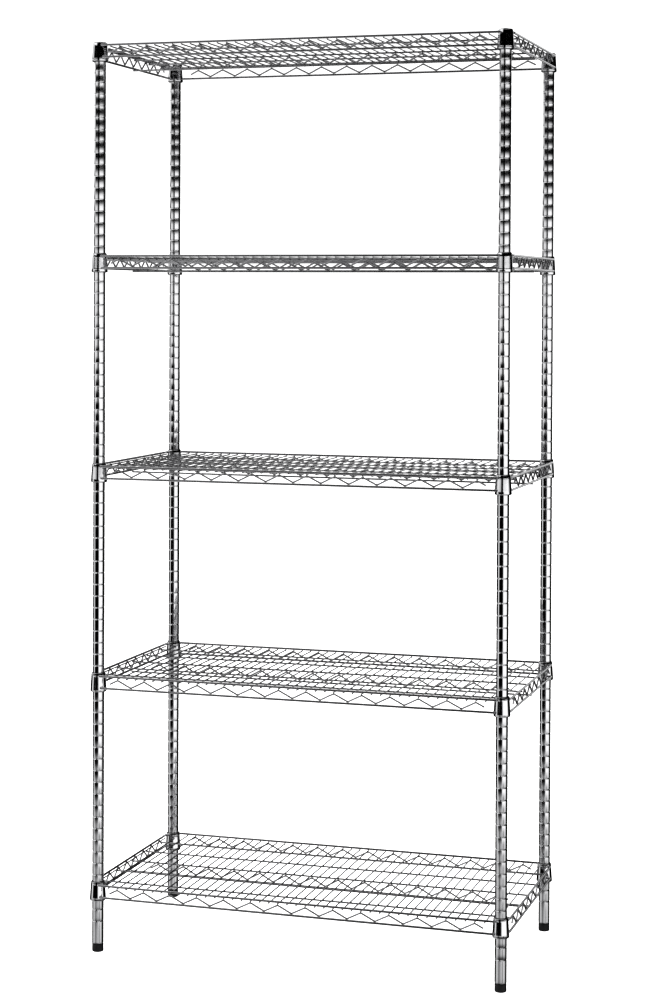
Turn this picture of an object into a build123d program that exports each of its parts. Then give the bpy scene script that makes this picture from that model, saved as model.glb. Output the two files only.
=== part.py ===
from build123d import *
from math import asin, atan2, cos, sin
import os

# Five-shelf wire shelving rack: grooved posts, split sleeves, welded wire shelves, levelling feet.
# Millimetres, +Z up, front towards -Y, origin on the floor at the middle of the footprint.
# Shelf 1 is the top shelf and shelf 5 the lowest.

# Overall layout
post_span_x = 900.0  # post centre to post centre, along the front
post_span_y = 450.0  # post centre to post centre, front to back
groove_pitch = 25.4
shelf_count = 5
grooves_per_bay = 18
lowest_collar_z = 113.0  # underside of the lowest shelf's corner collars

# Posts
post_r = 12.7
post_bore_r = 11.1
post_bottom_z = 20.0
post_top_z = 1980.0
first_groove_z = 67.3
groove_count = 76
groove_half_width = 1.3
groove_flat_half = 0.5
groove_depth = 0.8

# Domed caps
cap_plug_length = 14.0
cap_rim = 1.5
cap_height = 5.2  # dome top above the post

# Corner collars and the tapered plastic sleeves inside them
collar_height = 40.0
collar_wall = 1.3
collar_bottom_r = 18.0
collar_top_r = 15.5
collar_bevel_in = 0.7  # bevel round the bottom edge
collar_bevel_rise = 1.4
collar_lip_in = 0.5  # and round the top edge
collar_lip_rise = 0.6
sleeve_below = 0.8  # how far a sleeve shows under its collar
sleeve_above = 1.2  # and above it
taper_gap = 0.3
fit_gap = 0.05
sleeve_split = 0.6
ridge_r = 12.1
ridge_half_height = 0.9
ridge_tip_share = 0.3  # flat tip of the ridge, as a share of its height

# Shelf wires, with heights measured from the underside of the collars
rod_r = 2.5
rod_offset = 15.5  # rod axis, outside the line of post centres
rod_end = 7.5  # rod end, short of the post's axis
bottom_rod_z = 8.5
rod_rise = 26.0
snake_r = 1.9
snake_bend_r = 5.0
snake_pitch_x = 61.3
snake_peaks_x = 14
snake_pitch_y = 50.0
snake_peaks_y = 8
crosses_per_peak = 3
snake_stub = 0.6  # cut end of a zigzag wire, as a share of one stroke
cross_r = 1.5
mat_r = 2.0
mat_rows = (-175.0, -87.5, 0.0, 87.5, 175.0)
weld_gap = 0.05  # drawn gap at each spot weld
end_wire_room = 3.0  # from the end of a short cross wire to the collar

# Levelling feet
pad_r = 12.5
pad_height = 17.0
pad_foot_round = 2.0
pad_top_round = 0.8
socket_z = 6.0
socket_r = 5.1
pin_r = 5.0
stem_r = 4.7
stem_top_z = 54.0
stem_chamfer = 0.8
hex_flats = 16.0
insert_bottom_z = 18.6
insert_top_z = 44.0
insert_bore_r = 4.8

# Worked out from the above
half_x = post_span_x / 2
half_y = post_span_y / 2
rod_x = half_x + rod_offset
rod_y = half_y + rod_offset
top_rod_z = bottom_rod_z + rod_rise
cross_z = top_rod_z - rod_r - cross_r - weld_gap
mat_z = cross_z - cross_r - mat_r - weld_gap
chord_z = bottom_rod_z - rod_r - mat_r - weld_gap
cross_pitch = snake_pitch_x / crosses_per_peak
cross_count = crosses_per_peak * snake_peaks_x
short_wire_x = (cross_count + 1) / 2 * cross_pitch
end_wire_x = rod_x - rod_r - cross_r
mat_half = rod_x - snake_r - weld_gap
ridge_z = first_groove_z + 2 * groove_pitch - lowest_collar_z
dome_rise = cap_height - cap_rim
dome_r = (post_r**2 + dome_rise**2) / (2 * dome_rise)
dome_turn = asin(post_r / dome_r) / 2
corners = {
    "front_left": (-half_x, -half_y),
    "front_right": (half_x, -half_y),
    "back_left": (-half_x, half_y),
    "back_right": (half_x, half_y),
}


def cone_r(height, wall):
    """Collar radius at a height above its underside, less a wall."""
    return collar_bottom_r + (collar_top_r - collar_bottom_r) * height / collar_height - wall


def zigzag(peaks, pitch, low, high):
    """Corners of a zigzag centred on zero, whose cut ends stop part of the way down.

    Rounding a bend pulls it back from its corner, so the corners lie beyond low and high.
    """
    rise, extra = high - low, 0.0
    for _ in range(8):
        extra = snake_bend_r * (1 / cos(atan2(rise + 2 * extra, pitch / 2)) - 1)
    low, high = low - extra, high + extra
    first = -(peaks - 1) / 2 * pitch
    run, drop = snake_stub * pitch / 2, snake_stub * (high - low)
    points = [(first - run, high - drop)]
    for number in range(peaks):
        points.append((first + number * pitch, high))
        if number < peaks - 1:
            points.append((first + (number + 0.5) * pitch, low))
    points.append((-first + run, high - drop))
    return points


def snake_wire(plane, peaks, pitch, low, high):
    """One bent wire of a truss."""
    with BuildPart() as wire:
        with BuildLine(plane) as path:
            FilletPolyline(*zigzag(peaks, pitch, low, high), radius=snake_bend_r)
        with BuildSketch(Plane(origin=path.line @ 0, z_dir=path.line % 0)):
            Circle(snake_r)
        sweep(path=path.line)
    return wire.part


def save(shape, label, offset):
    """Writes one sub-part, moved from its reference place to where it belongs."""
    placed = shape.moved(Location(offset))
    placed.label = label
    export_step(placed, f"parts/{label}.step")


os.makedirs("parts", exist_ok=True)

# Post: a thin tube with a rolled groove at every pitch
post_outline = [(post_bore_r, post_bottom_z), (post_r, post_bottom_z)]
for number in range(groove_count):
    z = first_groove_z + number * groove_pitch
    post_outline += [
        (post_r, z - groove_half_width),
        (post_r - groove_depth, z - groove_flat_half),
        (post_r - groove_depth, z + groove_flat_half),
        (post_r, z + groove_half_width),
    ]
post_outline += [(post_r, post_top_z), (post_bore_r, post_top_z)]
with BuildPart() as post:
    with BuildSketch(Plane.XZ):
        with BuildLine():
            Polyline(*post_outline, close=True)
        make_face()
    revolve(axis=Axis.Z)

# Cap: a domed plug in the top of each post
with BuildPart() as cap:
    with BuildSketch(Plane.XZ):
        with BuildLine():
            Polyline(
                (0, post_top_z + cap_height),
                (0, post_top_z - cap_plug_length),
                (post_bore_r - fit_gap, post_top_z - cap_plug_length),
                (post_bore_r - fit_gap, post_top_z + fit_gap),
                (post_r, post_top_z + fit_gap),
                (post_r, post_top_z + cap_rim),
            )
            ThreePointArc(
                (post_r, post_top_z + cap_rim),
                (dome_r * sin(dome_turn), post_top_z + cap_height - dome_r * (1 - cos(dome_turn))),
                (0, post_top_z + cap_height),
            )
        make_face()
    revolve(axis=Axis.Z)
with BuildPart() as caps:
    with Locations(*corners.values()):
        add(cap.part)

# Threaded insert: a flanged plug in the bottom of each post
with BuildPart() as insert:
    with BuildSketch(Plane.XZ):
        with BuildLine():
            Polyline(
                (insert_bore_r, insert_bottom_z),
                (post_r, insert_bottom_z),
                (post_r, post_bottom_z - fit_gap),
                (post_bore_r - fit_gap, post_bottom_z - fit_gap),
                (post_bore_r - fit_gap, insert_top_z),
                (insert_bore_r, insert_top_z),
                close=True,
            )
        make_face()
    revolve(axis=Axis.Z)
with BuildPart() as inserts:
    with Locations(*corners.values()):
        add(insert.part)

# Foot pad: the moulded part that stands on the floor, with a socket for its screw
with BuildPart() as pad:
    Cylinder(pad_r, pad_height, align=(Align.CENTER, Align.CENTER, Align.MIN))
    fillet(pad.edges().group_by(Axis.Z)[0], pad_foot_round)
    fillet(pad.edges().group_by(Axis.Z)[-1], pad_top_round)
    with Locations((0, 0, socket_z)):
        Cylinder(
            socket_r,
            pad_height,
            align=(Align.CENTER, Align.CENTER, Align.MIN),
            mode=Mode.SUBTRACT,
        )

# Foot screw: a pin in the pad, a thin hexagon and a threaded stem
with BuildPart() as screw:
    with BuildSketch(Plane.XY.offset(socket_z + fit_gap)):
        Circle(pin_r)
    extrude(amount=pad_height - socket_z)
    with BuildSketch(Plane.XY.offset(pad_height + fit_gap)):
        RegularPolygon(hex_flats / 2, 6, major_radius=False)
    extrude(amount=insert_bottom_z - pad_height - 3 * fit_gap)
    with BuildSketch(Plane.XY.offset(insert_bottom_z - 2 * fit_gap)):
        Circle(stem_r)
    extrude(amount=stem_top_z - insert_bottom_z)
    chamfer(screw.edges().group_by(Axis.Z)[-1], stem_chamfer)

# Collars: one tapered ring at each corner of a shelf
with BuildPart() as collar:
    with BuildSketch(Plane.XZ):
        with BuildLine():
            Polyline(
                (cone_r(0, collar_wall), 0),
                (cone_r(0, collar_bevel_in), 0),
                (cone_r(collar_bevel_rise, 0), collar_bevel_rise),
                (cone_r(collar_height - collar_lip_rise, 0), collar_height - collar_lip_rise),
                (cone_r(collar_height, collar_lip_in), collar_height),
                (cone_r(collar_height, collar_wall), collar_height),
                close=True,
            )
        make_face()
    revolve(axis=Axis.Z)
with BuildPart() as collars:
    with Locations(*corners.values()):
        add(collar.part)

# Sleeve: a pair of tapered half shells on a post, with a ridge that sits in one groove
low, high = -sleeve_below, collar_height + sleeve_above
inner = post_r + fit_gap
with BuildPart() as sleeve:
    with BuildSketch(Plane.XZ):
        with BuildLine():
            Polyline(
                (inner, low),
                (cone_r(low, collar_wall + taper_gap), low),
                (cone_r(high, collar_wall + taper_gap), high),
                (inner, high),
                (inner, ridge_z + ridge_half_height),
                (ridge_r, ridge_z + ridge_tip_share * ridge_half_height),
                (ridge_r, ridge_z - ridge_tip_share * ridge_half_height),
                (inner, ridge_z - ridge_half_height),
                close=True,
            )
        make_face()
    revolve(axis=Axis.Z)
    Box(4 * post_r, sleeve_split, 4 * collar_height, mode=Mode.SUBTRACT)

# Clearance round the collars, used to cut the rod ends to the collars' outer faces
with BuildPart() as collar_room:
    with Locations(*[(x, y, 0) for x, y in corners.values()]):
        Cone(
            cone_r(0, -weld_gap),
            cone_r(collar_height, -weld_gap),
            collar_height,
            align=(Align.CENTER, Align.CENTER, Align.MIN),
        )

# Front and back trusses: two rods and a zigzag wire whose peaks sit under the cross wires
side_low = bottom_rod_z + rod_r + snake_r + weld_gap
front_high = cross_z - cross_r - snake_r - weld_gap
long_snake = snake_wire(Plane.XZ, snake_peaks_x, snake_pitch_x, side_low, front_high)
with BuildPart() as long_truss:
    with BuildSketch(Plane.YZ.offset(rod_end - half_x)):
        with Locations((0, bottom_rod_z), (0, top_rod_z)):
            Circle(rod_r)
    extrude(amount=2 * (half_x - rod_end))
    add(long_snake)

# Side trusses: as the long ones, with the peaks under the top rod itself
side_high = top_rod_z - rod_r - snake_r - weld_gap
short_snake = snake_wire(Plane.YZ, snake_peaks_y, snake_pitch_y, side_low, side_high)
with BuildPart() as short_truss:
    with BuildSketch(Plane.XZ.offset(rod_end - half_y)):
        with Locations((0, bottom_rod_z), (0, top_rod_z)):
            Circle(rod_r)
    extrude(amount=2 * (half_y - rod_end))
    add(short_snake)

trusses = {}
for kind, truss, x, y in (
    ("long_trusses", long_truss, 0, rod_y),
    ("end_trusses", short_truss, rod_x, 0),
):
    with BuildPart() as pair:
        for side in (-1, 1):
            add(truss.part.moved(Location((side * x, side * y, 0))))
        add(collar_room.part, mode=Mode.SUBTRACT)
    trusses[kind] = pair.part

# Middle truss: a chord under the side rods and a zigzag wire up to the centre mat wire
middle_low = chord_z + mat_r + snake_r + weld_gap
middle_high = mat_z - mat_r - snake_r - weld_gap
middle_snake = snake_wire(Plane.XZ, snake_peaks_x, snake_pitch_x, middle_low, middle_high)
with BuildPart() as middle_truss:
    with BuildSketch(Plane.YZ.offset(-rod_x)):
        with Locations((0, chord_z)):
            Circle(mat_r)
    extrude(amount=2 * rod_x)
    add(middle_snake)

# Deck: cross wires on five long mat wires, with two short ones between each pair of collars
cross_half = rod_y + cross_r
end_wire_half = half_y - collar_bottom_r - end_wire_room
with BuildPart() as deck:
    with BuildSketch(Plane.YZ.offset(-mat_half)):
        with Locations(*[(y, mat_z) for y in mat_rows]):
            Circle(mat_r)
    extrude(amount=2 * mat_half)
    with BuildSketch(Plane.XZ.offset(-cross_half)):
        with Locations(
            *[((n - (cross_count - 1) / 2) * cross_pitch, cross_z) for n in range(cross_count)]
        ):
            Circle(cross_r)
    extrude(amount=2 * cross_half)
    with BuildSketch(Plane.XZ.offset(-end_wire_half)):
        with Locations(
            *[(side * x, cross_z) for side in (-1, 1) for x in (short_wire_x, end_wire_x)]
        ):
            Circle(cross_r)
    extrude(amount=2 * end_wire_half)

# Write every node in its place
for corner, (x, y) in corners.items():
    save(post.part, f"post_{corner}", (x, y, 0))
    save(pad.part, f"foot_pad_{corner}", (x, y, 0))
    save(screw.part, f"foot_screw_{corner}", (x, y, 0))
save(caps.part, "post_caps", (0, 0, 0))
save(inserts.part, "threaded_inserts", (0, 0, 0))

shelf_parts = {
    "collars": collars.part,
    "middle_truss": middle_truss.part,
    "deck": deck.part,
    **trusses,
}
for number in range(1, shelf_count + 1):
    level = lowest_collar_z + (shelf_count - number) * grooves_per_bay * groove_pitch
    for kind, shape in shelf_parts.items():
        save(shape, f"shelf_{number}_{kind}", (0, 0, level))
    for corner, (x, y) in corners.items():
        save(sleeve.part, f"shelf_{number}_sleeve_{corner}", (x, y, level))
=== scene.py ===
from math import atan2, cos, pi, radians, sin

import bpy
from mathutils import Matrix, Vector


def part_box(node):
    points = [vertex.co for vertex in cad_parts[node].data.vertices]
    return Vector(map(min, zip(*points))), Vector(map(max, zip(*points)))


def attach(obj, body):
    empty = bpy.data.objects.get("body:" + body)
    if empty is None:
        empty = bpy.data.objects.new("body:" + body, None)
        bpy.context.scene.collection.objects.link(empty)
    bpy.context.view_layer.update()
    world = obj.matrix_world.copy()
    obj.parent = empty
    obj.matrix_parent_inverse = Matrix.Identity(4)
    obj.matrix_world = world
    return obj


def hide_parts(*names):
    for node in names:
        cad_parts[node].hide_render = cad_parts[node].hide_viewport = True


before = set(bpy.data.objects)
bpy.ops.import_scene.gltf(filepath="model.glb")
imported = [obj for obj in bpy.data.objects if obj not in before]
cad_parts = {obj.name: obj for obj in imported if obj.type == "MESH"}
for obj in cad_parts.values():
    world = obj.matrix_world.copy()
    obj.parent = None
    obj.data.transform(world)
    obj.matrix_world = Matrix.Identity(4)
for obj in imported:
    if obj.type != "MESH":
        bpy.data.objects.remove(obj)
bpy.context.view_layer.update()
MM = 0.001

# ---- Sizes in millimetres, the same as the frame's ----

HALF_X, HALF_Y = 450.0, 225.0
CORNERS = {
    "front_left": (-HALF_X, -HALF_Y),
    "front_right": (HALF_X, -HALF_Y),
    "back_left": (-HALF_X, HALF_Y),
    "back_right": (HALF_X, HALF_Y),
}
SHELVES = 5

# Side rods, and how far their ends stop short of the posts' axes
ROD_R, ROD_OFFSET, TOP_ROD_Z, BOTTOM_ROD_Z = 2.5, 15.5, 34.5, 8.5
ROD_X, ROD_Y = HALF_X + ROD_OFFSET, HALF_Y + ROD_OFFSET
TOP_ROD_SHORT, BOTTOM_ROD_SHORT = 8.0, 11.5

# Zigzag wires: the bends' radius, and the run past each end peak as a share of half a pitch
SNAKE_R, BEND_R, BEND_STEPS, STUB = 1.9, 5.0, 3, 0.6
LONG_PITCH, LONG_PEAKS, SHORT_PITCH, SHORT_PEAKS = 61.3, 14, 50.0, 8

# Deck wires, with the drawn gap at each weld
CROSS_R, MAT_R, GAP = 1.5, 2.0, 0.05
CROSSES_PER_PEAK = 3
CROSS_COLUMNS, CROSS_PITCH = CROSSES_PER_PEAK * LONG_PEAKS, LONG_PITCH / CROSSES_PER_PEAK
MAT_ROWS = (-175.0, -87.5, 0.0, 87.5, 175.0)
CROSS_Z = TOP_ROD_Z - ROD_R - CROSS_R - GAP
MAT_Z = CROSS_Z - CROSS_R - MAT_R - GAP
CHORD_Z = BOTTOM_ROD_Z - ROD_R - MAT_R - GAP
SNAKE_LOW = BOTTOM_ROD_Z + ROD_R + SNAKE_R + GAP

# Collars: a cone, and its outline as (height, inset from the cone)
COLLAR_H, COLLAR_LOW_R, COLLAR_HIGH_R, COLLAR_WALL, COLLAR_ROOM = 40.0, 18.0, 15.5, 1.3, 3.0
COLLAR_OUTLINE = (
    (0.0, COLLAR_WALL), (0.0, 0.75), (0.5, 0.25), (1.4, 0.0), (8.0, 0.0), (20.0, 0.0),
    (32.0, 0.0), (39.3, 0.0), (39.8, 0.25), (COLLAR_H, 0.6), (COLLAR_H, COLLAR_WALL))

# Posts, and one rolled groove as (height from its middle, depth)
POST_R, POST_BORE_R, POST_LOW, POST_HIGH, POST_BEVEL = 12.7, 11.1, 20.0, 1980.0, 0.3
GROOVE_PITCH, FIRST_GROOVE, GROOVES = 25.4, 67.3, 76
GROOVE = (
    (-1.7, 0.0), (-1.25, 0.02), (-0.9, 0.2), (-0.45, 0.66), (0.0, 0.8),
    (0.45, 0.66), (0.9, 0.2), (1.25, 0.02), (1.7, 0.0))

# Weld nuggets as half sizes (along, across, up), and where a rod's nugget sits
ROD_NUGGET, ROD_NUGGET_IN, ROD_NUGGET_FROM_END = (4.2, 2.6, 3.0), 1.2, 2.5
DECK_NUGGET = (1.5, 1.8, 0.7)

CUT_BEVEL = 0.3
POST_SIDES, COLLAR_SIDES, ROD_SIDES, WIRE_SIDES, CROSS_SIDES = 40, 56, 20, 12, 10
SMOOTH_BELOW_DEGREES = 38


# ---- Mesh helpers: every shape is collected as (points, faces) in millimetres ----

def circle(sides):
    """Cosine and sine of each step of a full turn."""
    return [(cos(2 * pi * i / sides), sin(2 * pi * i / sides)) for i in range(sides)]


class Shape:
    def __init__(self):
        self.points, self.faces = [], []

    def rings(self, rings):
        """Skins a list of equal rings of points, and closes both ends."""
        base, n = len(self.points), len(rings[0])
        for ring in rings:
            self.points += [tuple(p) for p in ring]
        for k in range(len(rings) - 1):
            for i in range(n):
                a, b = base + k * n + i, base + k * n + (i + 1) % n
                self.faces.append((a, b, b + n, a + n))
        last = base + (len(rings) - 1) * n
        self.faces.append(tuple(base + i for i in reversed(range(n))))
        self.faces.append(tuple(last + i for i in range(n)))

    def lathe(self, outline, at, sides):
        """Turns a closed outline of (radius, height) about a vertical axis."""
        base, n = len(self.points), len(outline)
        for c, s in circle(sides):
            self.points += [(at[0] + r * c, at[1] + r * s, at[2] + z) for r, z in outline]
        for i in range(sides):
            j = (i + 1) % sides
            for k in range(n):
                m = (k + 1) % n
                self.faces.append(
                    (base + i * n + k, base + j * n + k, base + j * n + m, base + i * n + m))

    def tube(self, path, r, sides=WIRE_SIDES):
        """A round wire along a path of points, with softened cut ends."""
        path = [Vector(p) for p in path]
        runs = [(b - a).normalized() for a, b in zip(path, path[1:])]
        ways = [runs[0]] + [(a + b).normalized() for a, b in zip(runs, runs[1:])] + [runs[-1]]
        steep = abs(ways[0].z) >= 0.8
        flat = ways[0].cross(Vector((1, 0, 0) if steep else (0, 0, 1))).normalized()
        narrow = 1 - CUT_BEVEL / r
        rings = []
        for k, (p, way) in enumerate(zip(path, ways)):
            up = flat.cross(way).normalized()
            out = way.cross(up).normalized()
            ring = [p + r * (c * out + s * up) for c, s in circle(sides)]
            if k == 0:
                rings.append([p + (q - p) * narrow for q in ring])
                rings.append([q + way * CUT_BEVEL for q in ring])
            elif k == len(path) - 1:
                rings.append([q - way * CUT_BEVEL for q in ring])
                rings.append([p + (q - p) * narrow for q in ring])
            else:
                rings.append(ring)
        self.rings(rings)

    def bead(self, at, size, sides=12, levels=7):
        """A rounded weld nugget, slightly uneven, with a small flat at each pole."""
        pole, unevenness, beat = 0.02, 0.08, 3.1
        rings = []
        for k in range(levels + 1):
            t = -pi / 2 + pi * (k + pole) / (levels + 2 * pole)
            lump = 1 + unevenness * sin(beat * k + at[0] + at[1])
            rings.append([
                (at[0] + size[0] * cos(t) * c * lump,
                 at[1] + size[1] * cos(t) * s,
                 at[2] + size[2] * sin(t))
                for c, s in circle(sides)])
        self.rings(rings)

    def piece(self, name, body, node, slot, material, z=0.0):
        """Makes the object at height z, parents it to its body and hides the CAD node it replaces."""
        mesh = bpy.data.meshes.new(name)
        mesh.from_pydata([(x * MM, y * MM, (h + z) * MM) for x, y, h in self.points], [], self.faces)
        mesh.validate()
        mesh.polygons.foreach_set("use_smooth", [True] * len(mesh.polygons))
        mesh.set_sharp_from_angle(angle=radians(SMOOTH_BELOW_DEGREES))
        obj = bpy.data.objects.new(name, mesh)
        bpy.context.scene.collection.objects.link(obj)
        obj.data.materials.append(material)
        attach(obj, body)
        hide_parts(node)


def bend_extra(rise, half_pitch):
    """How far the sharp corners pass the rounded peaks; a few rounds settle it."""
    extra = 0.0
    for _ in range(8):
        extra = BEND_R * (1 / cos(atan2(rise + 2 * extra, half_pitch)) - 1)
    return extra


def zigzag(peaks, pitch, low, high, place):
    """Points of a zigzag wire with rounded bends; place turns (along, height) into a point."""
    extra = bend_extra(high - low, pitch / 2)
    low, high = low - extra, high + extra
    first = -(peaks - 1) / 2 * pitch
    end, end_height = STUB * pitch / 2, high - STUB * (high - low)
    corners = [(first - end, end_height)]
    for k in range(peaks):
        corners.append((first + k * pitch, high))
        if k < peaks - 1:
            corners.append((first + (k + 0.5) * pitch, low))
    corners.append((-first + end, end_height))
    slope = atan2(high - low, pitch / 2)
    path = [corners[0]]
    for x, h in corners[1:-1]:
        up = 1 if h == high else -1
        centre = h - up * BEND_R / cos(slope)
        for j in range(-BEND_STEPS, BEND_STEPS + 1):
            a = slope * j / BEND_STEPS
            path.append((x + BEND_R * sin(a), centre + up * BEND_R * cos(a)))
    path.append(corners[-1])
    return [place(a, h) for a, h in path]


# ---- Materials ----

def material(name, base, metallic, rough, rough_range, grain, bump, tint=0.04):
    """A shader whose roughness, tint and fine relief vary over the surface."""
    mat = bpy.data.materials.new(name)
    mat.use_nodes = True
    nodes, links = mat.node_tree.nodes, mat.node_tree.links
    shader = nodes["Principled BSDF"]
    shader.inputs["Metallic"].default_value = metallic
    where = nodes.new("ShaderNodeTexCoord")
    cloud, fine = nodes.new("ShaderNodeTexNoise"), nodes.new("ShaderNodeTexNoise")
    for noise, scale, detail in ((cloud, grain / 12, 6), (fine, grain, 4)):
        noise.inputs["Scale"].default_value = scale
        noise.inputs["Detail"].default_value = detail
        links.new(where.outputs["Object"], noise.inputs["Vector"])
    noise_low, noise_high = 0.3, 0.7
    spread = nodes.new("ShaderNodeMapRange")
    spread.inputs["From Min"].default_value = noise_low
    spread.inputs["From Max"].default_value = noise_high
    spread.inputs["To Min"].default_value = rough
    spread.inputs["To Max"].default_value = rough + rough_range
    links.new(cloud.outputs["Fac"], spread.inputs["Value"])
    links.new(spread.outputs["Result"], shader.inputs["Roughness"])
    shade = nodes.new("ShaderNodeValToRGB")
    darker, lighter = shade.color_ramp.elements
    darker.position, lighter.position = noise_low, noise_high
    darker.color = (*[c * (1 - tint) for c in base], 1)
    lighter.color = (*[min(c * (1 + tint), 1) for c in base], 1)
    links.new(fine.outputs["Fac"], shade.inputs["Fac"])
    links.new(shade.outputs["Color"], shader.inputs["Base Color"])
    relief = nodes.new("ShaderNodeBump")
    relief.inputs["Strength"].default_value = bump
    relief.inputs["Distance"].default_value = 0.0002
    links.new(fine.outputs["Fac"], relief.inputs["Height"])
    links.new(relief.outputs["Normal"], shader.inputs["Normal"])
    return mat


# Name, colour, metallic, least roughness and its range, grain, bump and tint
post_chrome = material("post_chrome", (0.72, 0.72, 0.73), 1.0, 0.05, 0.04, 420, 0.03)
wire_chrome = material("wire_chrome", (0.52, 0.52, 0.53), 1.0, 0.08, 0.06, 600, 0.05)
collar_chrome = material("collar_chrome", (0.72, 0.72, 0.73), 1.0, 0.06, 0.05, 500, 0.04)
sleeve_plastic = material("sleeve_plastic", (0.018, 0.018, 0.02), 0.0, 0.38, 0.14, 1500, 0.35, 0.25)
cap_plastic = material("cap_plastic", (0.022, 0.022, 0.024), 0.0, 0.3, 0.15, 1400, 0.35, 0.25)
foot_plastic = material("foot_plastic", (0.016, 0.016, 0.017), 0.0, 0.42, 0.2, 1100, 0.5, 0.3)
screw_steel = material("screw_steel", (0.62, 0.62, 0.63), 1.0, 0.22, 0.15, 700, 0.3, 0.08)


# ---- Posts ----

outline = [(POST_BORE_R, POST_LOW), (POST_R - POST_BEVEL, POST_LOW), (POST_R, POST_LOW + POST_BEVEL)]
for k in range(GROOVES):
    outline += [(POST_R - depth, FIRST_GROOVE + k * GROOVE_PITCH + dz) for dz, depth in GROOVE]
outline += [
    (POST_R, POST_HIGH - POST_BEVEL), (POST_R - POST_BEVEL, POST_HIGH), (POST_BORE_R, POST_HIGH)]
for corner, (x, y) in CORNERS.items():
    shape = Shape()
    shape.lathe(outline, (x, y, 0), POST_SIDES)
    shape.piece(f"grooved_post_{corner}", "posts", f"post_{corner}", "post_chrome", post_chrome)


# ---- Shelves ----

def collars():
    """Four tapered corner collars."""
    shape = Shape()
    taper = (COLLAR_HIGH_R - COLLAR_LOW_R) / COLLAR_H
    outline = [(COLLAR_LOW_R + taper * h - inset, h) for h, inset in COLLAR_OUTLINE]
    for x, y in CORNERS.values():
        shape.lathe(outline, (x, y, 0), COLLAR_SIDES)
    return shape


def trusses(along_x, peaks, pitch, high):
    """Two opposite sides: a top and a bottom rod with nuggets at their ends, and a zigzag."""
    shape = Shape()
    half = HALF_X if along_x else HALF_Y
    for side in (-1, 1):
        across = (ROD_Y if along_x else ROD_X) * side
        inward = across - side * ROD_NUGGET_IN

        def place(along, height):
            return (along, across, height) if along_x else (across, along, height)

        for z, short in ((TOP_ROD_Z, TOP_ROD_SHORT), (BOTTOM_ROD_Z, BOTTOM_ROD_SHORT)):
            shape.tube([place(short - half, z), place(half - short, z)], ROD_R, ROD_SIDES)
            for way in (-1, 1):
                reach = way * (half - short - ROD_NUGGET_FROM_END)
                along, over, up = ROD_NUGGET
                if along_x:
                    shape.bead((reach, inward, z), (along, over, up))
                else:
                    shape.bead((inward, reach, z), (over, along, up))
        shape.tube(zigzag(peaks, pitch, SNAKE_LOW, high, place), SNAKE_R)
    return shape


def middle_truss():
    """A chord under the deck, and a zigzag between it and the middle mat wire."""
    shape = Shape()
    shape.tube([(-ROD_X, 0, CHORD_Z), (ROD_X, 0, CHORD_Z)], MAT_R)
    low, high = CHORD_Z + MAT_R + SNAKE_R + GAP, MAT_Z - MAT_R - SNAKE_R - GAP
    shape.tube(zigzag(LONG_PEAKS, LONG_PITCH, low, high, lambda a, h: (a, 0, h)), SNAKE_R)
    return shape


def deck():
    """Five long mat wires, and the cross wires with a nugget at each crossing."""
    shape = Shape()
    mat_half = ROD_X - SNAKE_R - GAP
    for y in MAT_ROWS:
        shape.tube([(-mat_half, y, MAT_Z), (mat_half, y, MAT_Z)], MAT_R)
    full = [((k - (CROSS_COLUMNS - 1) / 2) * CROSS_PITCH, ROD_Y + CROSS_R) for k in range(CROSS_COLUMNS)]
    beside_collars = ((CROSS_COLUMNS + 1) / 2 * CROSS_PITCH, ROD_X - ROD_R - CROSS_R)
    short = [(side * x, HALF_Y - COLLAR_LOW_R - COLLAR_ROOM) for side in (-1, 1) for x in beside_collars]
    for x, half in full + short:
        shape.tube([(x, -half, CROSS_Z), (x, half, CROSS_Z)], CROSS_R, CROSS_SIDES)
        for y in MAT_ROWS:
            shape.bead((x, y, CROSS_Z - CROSS_R), DECK_NUGGET, sides=8, levels=4)
    return shape


long_trusses = trusses(True, LONG_PEAKS, LONG_PITCH, CROSS_Z - CROSS_R - SNAKE_R - GAP)
end_trusses = trusses(False, SHORT_PEAKS, SHORT_PITCH, TOP_ROD_Z - ROD_R - SNAKE_R - GAP)
shelf_shapes = (
    ("corner_collars", "collars", "collar_chrome", collar_chrome, collars()),
    ("welded_long_trusses", "long_trusses", "wire_chrome", wire_chrome, long_trusses),
    ("welded_end_trusses", "end_trusses", "wire_chrome", wire_chrome, end_trusses),
    ("middle_truss", "middle_truss", "wire_chrome", wire_chrome, middle_truss()),
    ("deck_wires", "deck", "wire_chrome", wire_chrome, deck()),
)
for n in range(1, SHELVES + 1):
    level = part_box(f"shelf_{n}_collars")[0].z / MM
    for name, node, slot, finish, shape in shelf_shapes:
        shape.piece(f"{name}_{n}", f"shelf_{n}", f"shelf_{n}_{node}", slot, finish, level)


# ---- CAD nodes whose shape stays, with better materials ----

kept = {"post_caps": cap_plastic, "foot_pad": foot_plastic, "foot_screw": screw_steel,
        "threaded_inserts": screw_steel, "_sleeve_": sleeve_plastic}
for name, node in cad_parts.items():
    for key, finish in kept.items():
        if key in name:
            node.data.materials.clear()
            node.data.materials.append(finish)


# ---- Floor ----

FLOOR_HALF_M = 30
mesh = bpy.data.meshes.new("floor")
mesh.from_pydata([(x * FLOOR_HALF_M, y * FLOOR_HALF_M, 0) for x, y in ((-1, -1), (1, -1), (1, 1), (-1, 1))],
                 [], [(0, 1, 2, 3)])
floor = bpy.data.objects.new("floor", mesh)
bpy.context.scene.collection.objects.link(floor)
pale = bpy.data.materials.new("pale_floor")
pale.use_nodes = True
shader = pale.node_tree.nodes["Principled BSDF"]
shader.inputs["Base Color"].default_value = (0.93, 0.93, 0.93, 1)
shader.inputs["Roughness"].default_value = 0.9
shader.inputs["Specular IOR Level"].default_value = 0.0
shader.inputs["Emission Color"].default_value = (1, 1, 1, 1)
shader.inputs["Emission Strength"].default_value = 0.85
floor.data.materials.append(pale)
floor.visible_glossy = False


# ---- Studio: bands of light and dark that the chrome reflects; the camera sees plain white ----

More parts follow.
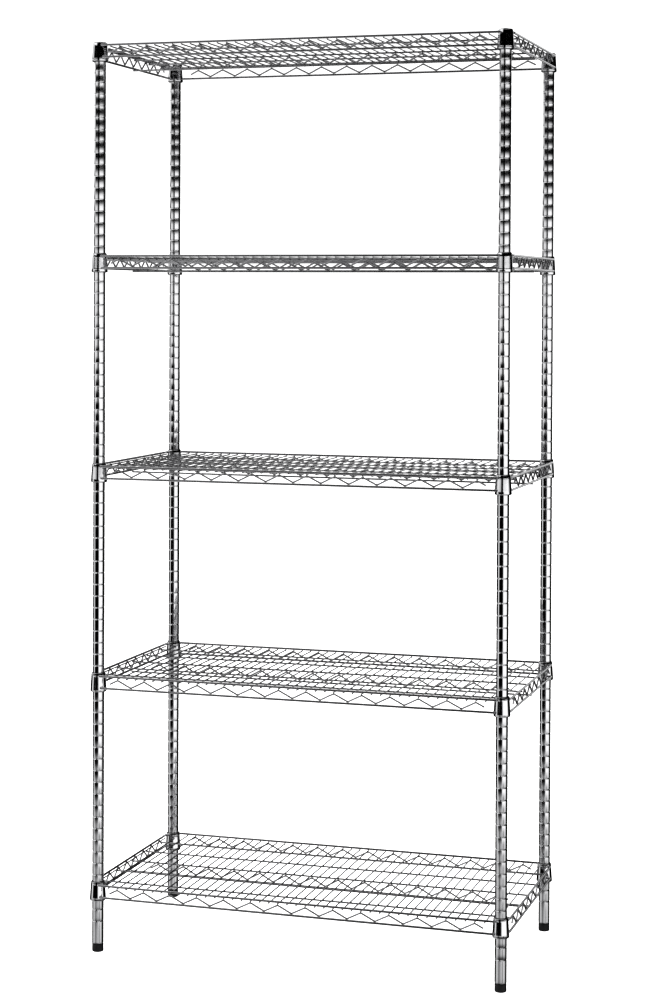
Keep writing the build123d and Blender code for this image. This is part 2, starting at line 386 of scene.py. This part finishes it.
world = bpy.data.worlds.new("studio")
bpy.context.scene.world = world
world.use_nodes = True
nodes, links = world.node_tree.nodes, world.node_tree.links
nodes.clear()


def ramp(stops, value):
    """Grey levels by position, between 0 and 1."""
    node = nodes.new("ShaderNodeValToRGB")
    elements = node.color_ramp.elements
    while len(elements) > 1:
        elements.remove(elements[-1])
    elements[0].position, elements[0].color = stops[0][0], (*[stops[0][1]] * 3, 1)
    for position, grey in stops[1:]:
        elements.new(position).color = (*[grey] * 3, 1)
    links.new(value, node.inputs["Fac"])
    return node.outputs["Color"]


def calculate(operation, a, b):
    """One Math node; a and b are numbers or sockets."""
    node = nodes.new("ShaderNodeMath")
    node.operation = operation
    for socket, value in zip(node.inputs, (a, b)):
        if isinstance(value, (int, float)):
            socket.default_value = value
        else:
            links.new(value, socket)
    return node.outputs[0]


def blend(weight, a, b):
    """From colour a to colour b by weight."""
    node = nodes.new("ShaderNodeMix")
    node.data_type = "RGBA"
    links.new(weight, node.inputs["Factor"])
    links.new(a, node.inputs[6])
    links.new(b, node.inputs[7])
    return node.outputs[2]


def rise(start, end):
    """Weight 0 below one height and 1 above the other."""
    return ramp([(start, 0.0), (end, 1.0)], height)


# A direction's turn goes once round the rack, with 0.5 to the front and 17 degrees to the right.
# Its height is 0 straight down, 0.5 level and 1 straight up.
FACING = 17 / 360
where = nodes.new("ShaderNodeTexCoord")
split = nodes.new("ShaderNodeSeparateXYZ")
links.new(where.outputs["Generated"], split.inputs[0])
azimuth = calculate("ARCTAN2", split.outputs["X"], calculate("MULTIPLY", split.outputs["Y"], -1.0))
turns = calculate("MULTIPLY", azimuth, 1 / (2 * pi))
turn = calculate("FRACT", calculate("ADD", turns, 0.5 - FACING), 0.0)
height = calculate("ADD", calculate("MULTIPLY", split.outputs["Z"], 0.5), 0.5)

# Grey levels by turn, from the lowest ring of the studio to the highest
deep_ring = ramp([(0.0, 0.0), (0.1, 0.2), (0.2, 0.4), (0.33, 0.2), (0.38, 0.0), (1.0, 0.0)], turn)
floor_ring = ramp([
    (0.0, 0.5), (0.05, 0.0), (0.2, 0.05), (0.25, 0.6), (0.36, 0.45), (0.4, 0.1), (0.44, 0.4),
    (0.56, 0.55), (0.6, 0.2), (0.64, 0.7), (0.72, 0.5), (0.77, 0.02), (0.9, 0.02), (1.0, 0.4)], turn)
low_ring = ramp([
    (0.0, 0.6), (0.03, 0.5), (0.05, 0.0), (0.21, 0.0), (0.24, 0.75), (0.28, 0.7), (0.31, 0.0),
    (0.49, 0.0), (0.54, 1.0), (0.71, 1.0), (0.75, 0.0), (0.89, 0.0), (0.92, 0.3), (1.0, 0.6)], turn)
mid_ring = ramp([
    (0.0, 1.0), (0.03, 0.9), (0.05, 0.05), (0.19, 0.05), (0.23, 0.7), (0.3, 0.8), (0.4, 0.55),
    (0.42, 0.0), (0.47, 0.0), (0.5, 1.0), (0.68, 1.0), (0.74, 0.4), (0.77, 0.0), (0.89, 0.0),
    (0.91, 1.0), (1.0, 1.0)], turn)
high_ring = ramp([
    (0.0, 0.5), (0.05, 0.5), (0.2, 0.8), (0.25, 0.0), (0.88, 0.0), (0.92, 0.5), (1.0, 0.5)], turn)
sky_ring = ramp([
    (0.0, 0.05), (0.04, 0.1), (0.12, 0.9), (0.33, 1.0), (0.36, 0.4), (0.385, 0.0), (1.0, 0.0)], turn)
pole_ring = ramp([
    (0.0, 0.1), (0.12, 0.9), (0.33, 1.0), (0.36, 0.4), (0.385, 0.0), (0.42, 0.0), (0.45, 0.9),
    (0.74, 0.9), (0.8, 0.1), (1.0, 0.1)], turn)

# The rings stacked by height; a narrow notch above level shows the middle ring again
studio = blend(rise(0.335, 0.35), deep_ring, floor_ring)
studio = blend(rise(0.375, 0.4), studio, low_ring)
studio = blend(rise(0.475, 0.49), studio, mid_ring)
studio = blend(rise(0.516, 0.534), studio, high_ring)
notch = ramp([(0.0, 0.0), (0.5545, 0.0), (0.5575, 1.0), (0.573, 1.0), (0.578, 0.0), (1.0, 0.0)], height)
studio = blend(notch, studio, mid_ring)
studio = blend(rise(0.64, 0.68), studio, sky_ring)
poles = ramp([(0.12, 1.0), (0.16, 0.0), (0.84, 0.0), (0.88, 1.0)], height)
studio = blend(poles, studio, pole_ring)

glow = nodes.new("ShaderNodeBackground")
links.new(studio, glow.inputs["Color"])
paper = nodes.new("ShaderNodeBackground")
paper.inputs["Color"].default_value = (1, 1, 1, 1)
ray = nodes.new("ShaderNodeLightPath")
pick = nodes.new("ShaderNodeMixShader")
links.new(ray.outputs["Is Camera Ray"], pick.inputs[0])
links.new(glow.outputs[0], pick.inputs[1])
links.new(paper.outputs[0], pick.inputs[2])
end = nodes.new("ShaderNodeOutputWorld")
links.new(pick.outputs[0], end.inputs["Surface"])

# Soft lamps: name, place and size in metres, and watts
LAMPS = (("key", (-2.6, -2.4, 3.6), 2.0, 70), ("top", (0.4, 0.3, 4.4), 2.4, 60))
LAMP_AIM = Vector((0, 0, 0.9))
for name, place, size, power in LAMPS:
    light = bpy.data.lights.new(name, "AREA")
    light.shape, light.size, light.energy = "SQUARE", size, power
    lamp = bpy.data.objects.new(name, light)
    bpy.context.scene.collection.objects.link(lamp)
    lamp.location = place
    lamp.visible_glossy = False
    lamp.rotation_mode = "QUATERNION"
    lamp.rotation_quaternion = (LAMP_AIM - Vector(place)).to_track_quat("-Z", "Y")


# ---- Camera: in front and to the right, fitted to the grooves and posts in the photo ----

CAMERA_AT = (1.404, -4.531, 1.427)
YAW, PITCH, ROLL = -0.2974, -0.0143, -0.0044
camera = bpy.data.cameras.new("camera")
camera.sensor_width = 36.0
camera.lens = 77.0
camera.shift_x, camera.shift_y = 0.0, -0.17
eye = bpy.data.objects.new("camera", camera)
bpy.context.scene.collection.objects.link(eye)
forward = Vector((sin(YAW) * cos(PITCH), cos(YAW) * cos(PITCH), sin(PITCH)))
right = Vector((cos(YAW), -sin(YAW), 0))
down = forward.cross(right)
right, down = cos(ROLL) * right + sin(ROLL) * down, -sin(ROLL) * right + cos(ROLL) * down
pose = Matrix((right, -down, -forward)).transposed().to_4x4()
pose.translation = Vector(CAMERA_AT)
eye.matrix_world = pose
bpy.context.scene.camera = eye
bpy.context.scene.view_settings.view_transform = "Standard"
bpy.context.scene.view_settings.look = "High Contrast"
